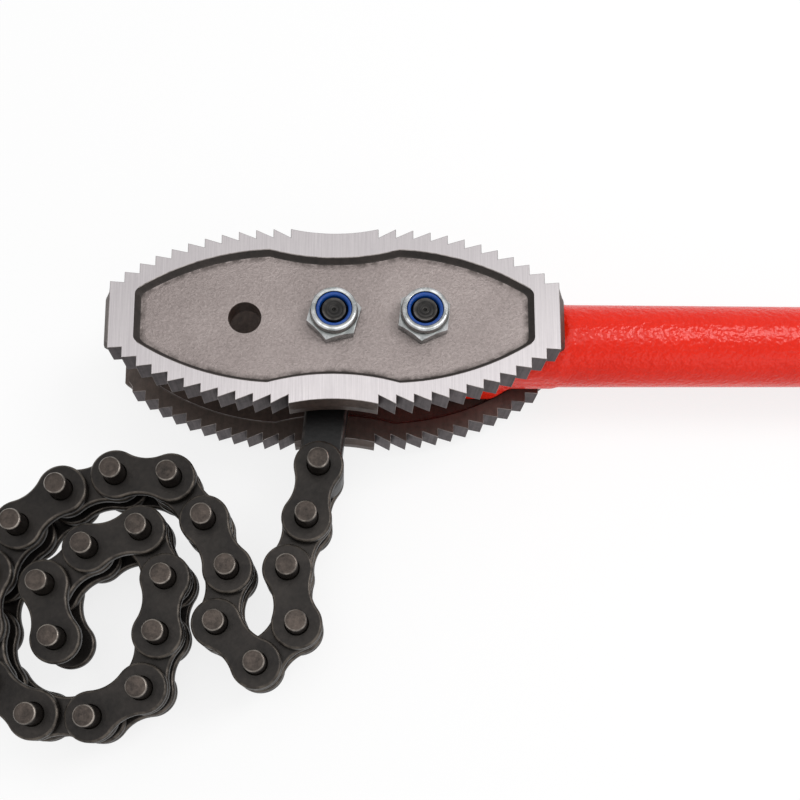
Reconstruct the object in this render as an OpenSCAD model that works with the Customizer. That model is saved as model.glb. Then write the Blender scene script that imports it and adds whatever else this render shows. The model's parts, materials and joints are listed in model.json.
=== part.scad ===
// Chain pipe wrench: a forged handle, two toothed jaws bolted to its tang, and a pinned link chain.
// The wrench lies flat. X runs along the handle, Y across the jaws and Z along the bolts.
// The origin is on the axis of the spare jaw hole, halfway between the two jaws.

/* [Jaws] */
// Height of a jaw over its tooth tips
jaw_height = 84; // [78:1:96]
// Thickness of a jaw at its rim
jaw_thickness = 11; // [9:0.5:14]
// Gap between the two jaws, which the tang fills
jaw_gap = 32; // [30:0.5:36]
// Radius of the arc that the tooth tips lie on
tip_radius = 129; // [120:1:150]
// Distance from the middle of the jaw to the crest of that arc
tip_crest = 24; // [22:0.5:27]
// Number of teeth on each side of the notch
tooth_count = 11; // [9:1:12]
// Distance between tooth tips along their arc
tooth_pitch = 7.93; // [7.2:0.01:8.2]
// Depth of a tooth, square to the arc
tooth_depth = 4.2; // [3:0.1:5]
// Width of the smooth notch in the middle of each edge
notch_width = 40; // [36:0.5:44]
// Depth of the notch
notch_depth = 2.3; // [1.5:0.1:3.5]
// Width of the rim round the sunk panel
rim_width = 10; // [8:0.5:12]
// Distance between the panel's two peaks, either side of the notch
panel_dip_width = 59; // [52:1:64]
// How far the panel's edge dips between its peaks
panel_dip = 4.1; // [2:0.1:5]
// Bevel of the panel's four corners
panel_corner = 2; // [0.5:0.1:3]
// Depth of the sunk panel on the outer face
panel_depth = 2.5; // [1.5:0.1:3.5]
// Depth of the pocket on the inner face, which a pad of the tang fills in part
pocket_depth = 1.5; // [0.5:0.1:2.5]
// How far the forged ends bulge at half thickness
end_bulge = 1.8; // [0.5:0.1:3]
// Distance between neighbouring bolt holes
hole_spacing = 40.5; // [38:0.5:44]

/* [Bolts] */
// Thread diameter of the bolts
bolt_d = 14; // [12:0.5:15]
// Play between a bolt and its hole, on the diameter
bolt_play = 0.5; // [0.3:0.1:1]
// Width of bolt heads and nuts across their flats
hex_flats = 22; // [21:0.5:24]
// Height of a bolt head
head_height = 8.8; // [6:0.2:10]
// Diameter of the flat on a bolt's tip
bolt_tip_d = 10.4; // [9:0.1:11.5]
// Height of a lock nut with its collar
nut_height = 8.3; // [7.5:0.1:10]
// Height of the nut's hexagon
nut_hex_height = 4.6; // [4:0.1:6]
// Diameter of the nut's round collar
collar_d = 21; // [20:0.1:21.4]
// Outer diameter of the nylon ring
ring_d = 16; // [15.5:0.1:17]
// Thickness of the nylon ring
ring_thickness = 2.4; // [1.5:0.1:3]
// Angle of the first nut's corners
first_nut_turn = 14; // [0:1:59]
// Angle of the second nut's corners
second_nut_turn = 24; // [0:1:59]

/* [Handle] */
// Distance from the centre bolt to the handle's end
handle_reach = 810; // [500:5:1000]
// Diameter of the handle at its neck
neck_d = 37; // [35:0.5:40]
// Diameter of the plain end of the handle
grip_d = 32; // [28:0.5:34]
// Length of the plain end
grip_length = 120; // [60:5:200]
// Radius of the rounded edge at the end
end_round = 6; // [3:0.5:10]
// Width of the tang
tang_width = 41; // [39:0.5:46]
// Radius of the tang's long edges
tang_round = 4; // [3:0.5:8]
// Distance from the centre bolt to where the tang narrows
tang_reach = 76; // [72:1:84]
// Length over which the tang narrows to the neck
taper_length = 11; // [8:1:16]
// Distance from the centre bolt to the end of the pads that seat in the jaws' pockets
pad_reach = 62; // [56:1:66]
// Distance from the centre bolt to the floor of the fork
fork_depth = 22; // [20:0.5:24]
// Length of the ramp from the tang's flats to the round bar
flat_runout = 5; // [3:0.5:12]

/* [Chain] */
// Distance between neighbouring pins
chain_pitch = 25.4; // [24:0.1:27]
// Height of a link plate
plate_height = 23.2; // [20:0.1:24]
// Height of a link plate at its waist
plate_waist = 17.4; // [13:0.1:19]
// Thickness of a link plate
plate_thickness = 4; // [3:0.1:4.5]
// Gap between the two plates of an inner link
inner_gap = 8; // [6:0.1:9]
// Diameter of a chain pin
pin_d = 10; // [8:0.1:10.5]
// How far a pin stands out of the outer plates
pin_proud = 8.7; // [5:0.1:10]
// Bevel round the ends of a pin
pin_bevel = 0.8; // [0.3:0.1:1.5]
// Outer diameter of a bush
bush_d = 14.4; // [13.6:0.1:15]
// Play between a pin and its bush, on the diameter
pin_play = 0.18; // [0.1:0.02:0.3]
// Play between pieces that slide face to face
side_play = 0.3; // [0.2:0.05:0.5]
// Gap of a pressed fit, on the diameter
press_gap = 0.04; // [0.02:0.01:0.1]
// Distance from the centre bolt to the first pin
anchor_length = 64.5; // [62:0.5:70]
// Width of the anchor link
anchor_width = 19.7; // [16:0.1:22]
// Diameter of the anchor link's eye on the bolt
anchor_eye_d = 29; // [26:0.5:34]
// Direction of the anchor link
anchor_heading = -96; // [-110:1:-80]

/* [Hidden] */
$fn = 64;
// Direction of each link from the anchor on, in degrees, as the chain lies coiled beside the wrench
link_headings = [
    -102, -109, -80, -135, -225, -280, -244, -231, -183, -163, -139, -120,
    -95, -78, -33, -2, 30, 76, 84, 118, 200, 222, 285
];
link_count = len(link_headings);
outer_count = ceil(link_count / 2);
inner_count = floor(link_count / 2);

// Jaws: the crest and centre of the tip arc, and its teeth from the notch outwards
jaw_half_height = jaw_height / 2;
arc_centre_y = jaw_half_height - tip_radius;
tooth_step = tooth_pitch / tip_radius * 180 / PI;
notch_angle = asin((notch_width / 2 - tip_crest) / tip_radius);
notch_edge_y = arc_centre_y + tip_radius * cos(notch_angle);
notch_radius = (pow(notch_width / 2, 2) + pow(notch_depth, 2)) / (2 * notch_depth);
notch_centre_y = notch_edge_y - notch_depth + notch_radius;
notch_steps = 6;
end_angle = notch_angle + tooth_count * tooth_step;
end_x = tip_crest + tip_radius * sin(end_angle);
end_y = arc_centre_y + tip_radius * cos(end_angle);
outer_face_z = jaw_gap / 2 + jaw_thickness;
seat_z = outer_face_z - panel_depth;
dip_radius = (pow(panel_dip_width / 2, 2) + pow(panel_dip, 2)) / (2 * panel_dip);
dip_steps = 6;
panel_steps = 14;
end_rim_ratio = 1.15;
cut_margin = 1;

// Bolts and nuts
bolt_hole_r = (bolt_d + bolt_play) / 2;
centre_x = hole_spacing;
second_x = 2 * hole_spacing;
ring_grip = 0.6;
ring_inner_r = bolt_d / 2 - ring_grip;
ring_sink = 0.4;
bolt_tip_sink = 0.8;
// A bolt's point is slimmer than the nylon ring's bore, up from the ring's lower face
point_length = ring_thickness + ring_sink - bolt_tip_sink;
point_r = min(bolt_tip_d / 2 + 0.35, ring_inner_r - 0.2);
point_shoulder = 1;
collar_round = 1.2;
hex_bevel = 1.2;
hex_margin = 1;
hex_face_cut = 0.6;

// Chain: heights of the plates above the middle plane
inner_face_z = inner_gap / 2;
outer_plate_z = inner_face_z + plate_thickness + side_play;
pin_length = 2 * (outer_plate_z + plate_thickness + pin_proud);
anchor_thickness = inner_gap + 2 * plate_thickness;
fork_gap = anchor_thickness + 2 * side_play;
// The curve of a link plate from its round end to its waist
shoulder_x_ratio = 0.18;
shoulder_y_ratio = 0.43;
waist_x_ratio = 0.42;
waist_rise = 0.2;

// Turns a list of points end for end
function reversed(points) = [for (i = [len(points) - 1 : -1 : 0]) points[i]];
// A quarter outline mirrored into a closed outline
function four_quarters(quarter) = concat(
    quarter,
    reversed([for (p = quarter) [p.x, -p.y]]),
    [for (p = quarter) [-p.x, -p.y]],
    reversed([for (p = quarter) [-p.x, p.y]])
);

// Tip of tooth k, counted from the notch
function tip(k) = let (a = notch_angle + k * tooth_step)
    [tip_crest + tip_radius * sin(a), arc_centre_y + tip_radius * cos(a)];
// Foot of the steep flank on the outer side of tooth k
function valley(k) = let (a = notch_angle + k * tooth_step)
    [tip(k).x, tip(k).y - tooth_depth / cos(a)];
// The notch from the middle to its corner
function notch_arc() = [for (i = [0 : notch_steps - 1]) let (x = notch_width / 2 * i / notch_steps)
    [x, notch_centre_y - sqrt(pow(notch_radius, 2) - x * x)]];
function jaw_quarter() = concat(
    notch_arc(),
    [for (k = [0 : tooth_count - 1]) each [tip(k), valley(k)]],
    [tip(tooth_count)]
);

// Half height at x of a line that runs inside the tooth tips at the given margin
function tip_line(x, margin) =
    arc_centre_y + sqrt(pow(tip_radius - margin, 2) - pow(x - tip_crest, 2));
// Half height at x of the arc that dips between the panel's peaks
function dip_line(x, margin) =
    tip_line(panel_dip_width / 2, margin) - panel_dip + dip_radius - sqrt(pow(dip_radius, 2) - x * x);
// A quarter of the panel's outline, from the middle of the dip to the bevelled corner
function panel_quarter(margin) = let (
    peak = panel_dip_width / 2,
    half = end_x - margin * end_rim_ratio,
    reach = half - panel_corner - peak
) concat(
    [for (i = [0 : dip_steps]) let (x = peak * i / dip_steps) [x, dip_line(x, margin)]],
    [for (i = [1 : panel_steps]) let (x = peak + reach * i / panel_steps) [x, tip_line(x, margin)]],
    [[half, tip_line(half, margin) - panel_corner / 2]]
);

// The sunk shape of a panel, open side up at height z
module sunk_panel(z, depth) {
    translate([0, 0, z - depth]) linear_extrude(depth + cut_margin) polygon(four_quarters(panel_quarter(rim_width)));
}

// A jaw with its inner face on z = 0 and its outer face up
module jaw() {
    difference() {
        union() {
            linear_extrude(jaw_thickness) polygon(four_quarters(jaw_quarter()));
            for (side = [-1, 1]) jaw_end(side);
        }
        sunk_panel(jaw_thickness, panel_depth);
        mirror([0, 0, 1]) sunk_panel(0, pocket_depth);
        for (x = [-hole_spacing, 0, hole_spacing])
            translate([x, 0, -cut_margin]) cylinder(r = bolt_hole_r, h = jaw_thickness + 2 * cut_margin);
    }
}

// The forged bulge on one short end of a jaw
module jaw_end(side) {
    sunk = 2;
    scale([side, 1, 1]) translate([end_x, 0, jaw_thickness / 2]) rotate([90, 0, 0])
        linear_extrude(2 * (end_y - end_bulge), center = true)
            polygon([[-sunk, -jaw_thickness / 2], [0, -jaw_thickness / 2],
                [end_bulge, 0], [0, jaw_thickness / 2], [-sunk, jaw_thickness / 2]]);
}

module upper_jaw() {
    color("silver") translate([centre_x, 0, jaw_gap / 2]) jaw();
}

module lower_jaw() {
    color("silver") translate([centre_x, 0, -jaw_gap / 2]) mirror([0, 0, 1]) jaw();
}

// A bolt with its head seated below the lower jaw
module bolt(x) {
    tip_z = seat_z + nut_height - bolt_tip_sink;
    color([0.12, 0.12, 0.13]) translate([x, 0, 0]) {
        translate([0, 0, -seat_z - head_height]) bolt_head();
        translate([0, 0, -seat_z])
            cylinder(d = bolt_d, h = seat_z + tip_z - point_length - point_shoulder);
        translate([0, 0, tip_z - point_length - point_shoulder])
            cylinder(r1 = bolt_d / 2, r2 = point_r, h = point_shoulder);
        translate([0, 0, tip_z - point_length])
            cylinder(r1 = point_r, r2 = min(bolt_tip_d / 2, point_r - 0.1), h = point_length);
    }
}

// Hexagon of the fasteners, with its corners bevelled towards the top
module bevelled_hexagon(height, turn) {
    corners_d = hex_flats / cos(30);
    intersection() {
        rotate(turn) cylinder(d = corners_d, h = height, $fn = 6);
        union() {
            cylinder(d = corners_d + hex_margin, h = height - hex_bevel);
            translate([0, 0, height - hex_bevel])
                cylinder(d1 = corners_d + hex_margin, d2 = hex_flats - hex_face_cut, h = hex_bevel);
        }
    }
}

module bolt_head() {
    translate([0, 0, head_height]) mirror([0, 0, 1]) bevelled_hexagon(head_height, 0);
}

module centre_bolt() { bolt(centre_x); }

module second_bolt() { bolt(second_x); }

// A lock nut seated in the upper jaw's panel, its collar open for the nylon ring
module lock_nut(x, turn) {
    ring_seat = nut_height - ring_thickness - ring_sink;
    color("gainsboro") translate([x, 0, seat_z]) difference() {
        union() {
            bevelled_hexagon(nut_hex_height, turn);
            cylinder(d = collar_d, h = nut_height - collar_round);
            translate([0, 0, nut_height - collar_round])
                cylinder(d1 = collar_d, d2 = collar_d - 2 * collar_round, h = collar_round);
        }
        translate([0, 0, -cut_margin]) cylinder(d = bolt_d + press_gap, h = nut_height + 2 * cut_margin);
        translate([0, 0, ring_seat]) cylinder(d = ring_d + press_gap, h = nut_height);
    }
}

module centre_nut() { lock_nut(centre_x, first_nut_turn); }

module second_nut() { lock_nut(second_x, second_nut_turn); }

module nylon_ring(x) {
    color("royalblue") translate([x, 0, seat_z + nut_height - ring_sink - ring_thickness]) difference() {
        cylinder(d = ring_d, h = ring_thickness);
        translate([0, 0, -cut_margin]) cylinder(r = ring_inner_r, h = ring_thickness + 2 * cut_margin);
    }
}

module centre_nylon_ring() { nylon_ring(centre_x); }

module second_nylon_ring() { nylon_ring(second_x); }

// Half width of the tang and neck along the handle, from the centre bolt
function tang_half(u) = let (s = min(max((u - tang_reach) / taper_length, 0), 1))
    tang_width / 2 + (neck_d - tang_width) / 2 * (1 - cos(180 * s)) / 2;

// The tang seen from above, round at the fork
module tang_outline() {
    steps = 8;
    edge = [for (i = [0 : steps]) let (u = tang_reach + taper_length * i / steps) [u, tang_half(u)]];
    circle(d = tang_width);
    polygon(concat([[0, tang_width / 2]], edge, reversed([for (p = edge) [p.x, -p.y]]), [[0, -tang_width / 2]]));
}

// Cross section of the tang, its long edges rounded
module tang_section() {
    for (side = [-1, 1], level = [-1, 1])
        translate([side * (tang_width / 2 - tang_round), level * (jaw_gap / 2 - tang_round)])
            circle(r = tang_round);
    square([tang_width - 2 * tang_round, jaw_gap], center = true);
    square([tang_width, jaw_gap - 2 * tang_round], center = true);
}

// The raised pads on the tang's two flats
module tang_pads() {
    pad_width = tang_width - 2 * tang_round;
    linear_extrude(jaw_gap + 2 * pocket_depth, center = true) {
        circle(d = pad_width);
        translate([0, -pad_width / 2]) square([pad_reach, pad_width]);
    }
}

// The round bar from the neck to its rounded end, turned about X
module bar() {
    start = tang_reach + taper_length / 2;
    shoulder = end_x + end_bulge + side_play;
    round_steps = 6;
    end_arc = [for (i = [0 : round_steps]) let (a = 90 * i / round_steps)
        [grip_d / 2 - end_round * (1 - cos(a)), handle_reach - end_round * (1 - sin(a))]];
    rotate([0, 90, 0]) rotate_extrude()
        polygon(concat([[0, start], [neck_d / 2, start], [neck_d / 2, shoulder + flat_runout],
            [grip_d / 2, handle_reach - grip_length]], end_arc, [[0, handle_reach]]));
}

// What the flats take off the round bar between the jaws
module flat_cut() {
    shoulder = end_x + end_bulge + side_play;
    high = neck_d;
    rotate([90, 0, 0]) linear_extrude(2 * neck_d, center = true)
        polygon([[0, jaw_gap / 2], [shoulder, jaw_gap / 2],
            [shoulder + flat_runout, neck_d / 2 + cut_margin], [shoulder + flat_runout, high], [0, high]]);
}

module handle() {
    color("red") translate([centre_x, 0, 0]) difference() {
        union() {
            intersection() {
                linear_extrude(jaw_gap, center = true) tang_outline();
                translate([-tang_width, 0, 0]) rotate([90, 0, 90])
                    linear_extrude(2 * tang_width + tang_reach) tang_section();
            }
            tang_pads();
            difference() {
                bar();
                flat_cut();
                mirror([0, 0, 1]) flat_cut();
            }
        }
        translate([fork_depth - 2 * tang_width, -tang_width, -fork_gap / 2])
            cube([2 * tang_width, 2 * tang_width, fork_gap]);
        for (x = [0, second_x - centre_x])
            translate([x, 0, -jaw_gap]) cylinder(r = bolt_hole_r, h = 2 * jaw_gap);
    }
}

// Place of pin i, counted from the anchor
function pin_place(i) = i == 1
    ? [centre_x + anchor_length * cos(anchor_heading), anchor_length * sin(anchor_heading)]
    : pin_place(i - 1) + chain_pitch * [cos(link_headings[i - 2]), sin(link_headings[i - 2])];

// Puts its children on the link that starts at pin i, with X along the link
module on_link(i) {
    translate([pin_place(i).x, pin_place(i).y, 0]) rotate(link_headings[i - 1]) children();
}

module anchor_link() {
    color([0.1, 0.1, 0.1]) translate([centre_x, 0, 0]) rotate(anchor_heading)
        linear_extrude(anchor_thickness, center = true) difference() {
            union() {
                circle(d = anchor_eye_d);
                translate([anchor_length, 0]) circle(d = plate_height);
                translate([0, -anchor_width / 2]) square([anchor_length, anchor_width]);
            }
            circle(d = bolt_d + pin_play);
            translate([anchor_length, 0]) circle(d = pin_d + pin_play);
        }
}

// A figure-eight plate on z = 0 with a hole at each end
module link_plate(hole_d) {
    shoulder = plate_height * shoulder_x_ratio;
    near_waist = plate_height * waist_x_ratio;
    shoulder_y = plate_height * shoulder_y_ratio;
    neck_y = plate_waist / 2 + waist_rise;
    half = concat(
        [[shoulder, shoulder_y], [near_waist, neck_y], [chain_pitch / 2, plate_waist / 2]],
        [[chain_pitch - near_waist, neck_y], [chain_pitch - shoulder, shoulder_y]]
    );
    linear_extrude(plate_thickness) difference() {
        union() {
            for (x = [0, chain_pitch]) translate([x, 0]) circle(d = plate_height);
            polygon(concat(half, reversed([for (p = half) [p.x, -p.y]])));
        }
        for (x = [0, chain_pitch]) translate([x, 0]) circle(d = hole_d);
    }
}

// The two plates of a link, the lower one a mirror of the upper
module plate_pair(i, z, hole_d) {
    on_link(i) for (level = [0, 1]) mirror([0, 0, level]) translate([0, 0, z]) link_plate(hole_d);
}

module outer_plates(k) {
    color([0.22, 0.2, 0.18]) plate_pair(2 * k - 1, outer_plate_z, pin_d + press_gap);
}

module inner_plates(k) {
    color([0.2, 0.18, 0.16]) plate_pair(2 * k, inner_face_z, bush_d + press_gap);
}

// Pins with bevelled ends, riveted in the outer plates
module pins(k) {
    half = pin_length / 2;
    profile = [[0, -half], [pin_d / 2 - pin_bevel, -half], [pin_d / 2, -half + pin_bevel],
        [pin_d / 2, half - pin_bevel], [pin_d / 2 - pin_bevel, half], [0, half]];
    color([0.3, 0.29, 0.28]) on_link(2 * k - 1) for (x = [0, chain_pitch])
        translate([x, 0, 0]) rotate_extrude() polygon(profile);
}

// Bushes pressed into the inner plates, flush with their outer faces
module bushes(k) {
    color([0.3, 0.28, 0.26]) on_link(2 * k) for (x = [0, chain_pitch]) translate([x, 0, 0])
        difference() {
            cylinder(d = bush_d, h = anchor_thickness, center = true);
            cylinder(d = pin_d + pin_play, h = anchor_thickness + 2 * cut_margin, center = true);
        }
}

handle();
upper_jaw();
lower_jaw();
centre_bolt();
second_bolt();
centre_nut();
second_nut();
centre_nylon_ring();
second_nylon_ring();
anchor_link();
for (k = [1 : outer_count]) {
    outer_plates(k);
    pins(k);
}
for (k = [1 : inner_count]) {
    inner_plates(k);
    bushes(k);
}
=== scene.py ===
"""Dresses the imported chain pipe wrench: forged handle, toothed jaws, lock nuts and pinned chain.

Sizes are in millimetres until a mesh is made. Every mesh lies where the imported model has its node,
and its object stays at the origin.
"""

from __future__ import annotations

import json
import logging
import math
from dataclasses import dataclass
from enum import Enum, IntEnum
from typing import Optional, Sequence, Union

import bmesh
import bpy
from mathutils import Matrix, Vector
from mathutils.geometry import tessellate_polygon

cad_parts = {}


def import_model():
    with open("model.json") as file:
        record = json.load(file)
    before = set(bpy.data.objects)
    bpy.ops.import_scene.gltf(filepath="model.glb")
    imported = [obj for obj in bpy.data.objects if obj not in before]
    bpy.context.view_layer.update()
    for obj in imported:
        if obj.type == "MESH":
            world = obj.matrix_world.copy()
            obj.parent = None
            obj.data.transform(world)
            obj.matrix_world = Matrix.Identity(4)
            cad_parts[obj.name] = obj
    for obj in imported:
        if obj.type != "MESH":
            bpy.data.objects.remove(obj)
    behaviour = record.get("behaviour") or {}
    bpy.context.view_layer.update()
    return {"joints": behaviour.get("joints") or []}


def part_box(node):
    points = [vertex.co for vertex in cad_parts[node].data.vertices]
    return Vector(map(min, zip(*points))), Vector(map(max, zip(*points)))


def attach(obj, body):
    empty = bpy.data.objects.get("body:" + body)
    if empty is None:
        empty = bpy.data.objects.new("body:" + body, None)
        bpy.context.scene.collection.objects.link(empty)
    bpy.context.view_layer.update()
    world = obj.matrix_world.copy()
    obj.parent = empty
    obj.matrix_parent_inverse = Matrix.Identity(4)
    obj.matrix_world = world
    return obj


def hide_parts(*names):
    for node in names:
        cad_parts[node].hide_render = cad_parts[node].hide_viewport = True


LOG = logging.getLogger("chain_wrench")
MM = 0.001
# Name of the mark for the wear tone: wear on most parts, a painted highlight on the nuts, painted shade at
# the foot of the jaw panel's wall.
WEAR_AND_LIGHT = "wear"
CAP = "cap"
GROUP = "ShaderNodeGroup"
MATH = "ShaderNodeMath"
NOISE = "ShaderNodeTexNoise"
SPREAD = "ShaderNodeMapRange"
VECTOR = "ShaderNodeVectorMath"

Flat = tuple[float, float]
Solid = tuple[float, float, float]
Colour = tuple[float, float, float, float]
Station = tuple[float, float, float, float]
Profile = Sequence[Sequence[float]]
Loop = list[bmesh.types.BMVert]
Zones = Union[int, Sequence[int]]
Tree = bpy.types.NodeTree
Socket = bpy.types.NodeSocket
Value = Union[Socket, float, Sequence[float]]
Inputs = dict[Union[int, str], Value]

ORIGIN: Solid = (0.0, 0.0, 0.0)
WHITE: Colour = (1.0, 1.0, 1.0, 1.0)


def tone(red: int, green: int, blue: int) -> Colour:
    """Turns a colour as seen on a screen into a linear one.

    Args:
        red: Red from 0 to 255.
        green: Green from 0 to 255.
        blue: Blue from 0 to 255.

    Returns:
        The linear red, green and blue, fully opaque.
    """
    seen = (red / 255, green / 255, blue / 255)
    linear = [v / 12.92 if v <= 0.04045 else ((v + 0.055) / 1.055) ** 2.4 for v in seen]
    return (*linear, 1.0)


def shares(count: int, first: int = 0) -> list[float]:
    """Even shares of a whole.

    Args:
        count: Number of steps in the whole.
        first: Number of the first step.

    Returns:
        The shares from the first step to 1.
    """
    return [i / count for i in range(first, count + 1)]


def between(start: float, end: float, share: float) -> float:
    """Value at a share of the way from one to another.

    Args:
        start: First value.
        end: Last value.
        share: Share of the way.

    Returns:
        The value there.
    """
    return start + (end - start) * share


def ease(share: float) -> float:
    """Slows a share down at both ends.

    Args:
        share: Share from 0 to 1.

    Returns:
        The eased share.
    """
    return share * share * (3 - 2 * share)


def circle(radius: float, count: int, centre: Flat = (0.0, 0.0)) -> list[Flat]:
    """Points of a circle, counter-clockwise.

    Args:
        radius: Radius of the circle.
        count: Number of points.
        centre: Centre of the circle.

    Returns:
        The points.
    """
    turns = [2 * math.pi * i / count for i in range(count)]
    return [(centre[0] + radius * math.cos(a), centre[1] + radius * math.sin(a)) for a in turns]


def arc(centre: Flat, radius: float, start: float, end: float, count: int) -> list[Flat]:
    """Points of an arc, both ends included.

    Args:
        centre: Centre of the arc.
        radius: Radius of the arc.
        start: First angle in degrees.
        end: Last angle in degrees.
        count: Number of points.

    Returns:
        The points from start to end.
    """
    turns = [math.radians(start + (end - start) * i / (count - 1)) for i in range(count)]
    return [(centre[0] + radius * math.cos(a), centre[1] + radius * math.sin(a)) for a in turns]


def inset(points: Sequence[Flat], depth: float) -> list[Flat]:
    """Moves a counter-clockwise outline inwards.

    Args:
        points: The outline.
        depth: How far each side moves.

    Returns:
        The outline with as many points.
    """
    least_lean = 0.5
    moved = []
    for i, here in enumerate(points):
        centre = Vector(here)
        first = (centre - Vector(points[i - 1])).normalized()
        second = (Vector(points[(i + 1) % len(points)]) - centre).normalized()
        normal = Vector((-first.y - second.y, first.x + second.x)).normalized()
        lean = max(least_lean, normal.dot(Vector((-first.y, first.x))))
        moved.append((centre + normal * depth / lean).to_tuple())
    return moved


def offset(table: Profile, radius: float, z: float) -> list[tuple[float, ...]]:
    """Sets a table of offsets on a corner.

    Args:
        table: Offset of the radius, offset of the height and marks of each point.
        radius: Radius of the corner.
        z: Height of the corner.

    Returns:
        Radius, height and marks of each point.
    """
    return [(radius + out, z + up, *marks) for out, up, *marks in table]


def feed(tree: Tree, node: bpy.types.Node, inputs: Inputs) -> None:
    """Links or sets the inputs of a node.

    Args:
        tree: The tree that holds the node.
        node: The node.
        inputs: Socket to link or value to set, by the input's name or place.
    """
    for label, value in inputs.items():
        if isinstance(value, Socket):
            tree.links.new(value, node.inputs[label])
        else:
            node.inputs[label].default_value = value


def wire(tree: Tree, kind: str, inputs: Inputs, **options: object) -> bpy.types.NodeOutputs:
    """Adds a node with its options and inputs.

    Args:
        tree: The tree that gets the node.
        kind: Type of the node.
        inputs: Socket to link or value to set, by the input's name or place.
        options: The node's own options.

    Returns:
        The node's outputs.
    """
    node = tree.nodes.new(kind)
    for label, value in options.items():
        setattr(node, label, value)
    feed(tree, node, inputs)
    return node.outputs


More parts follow.
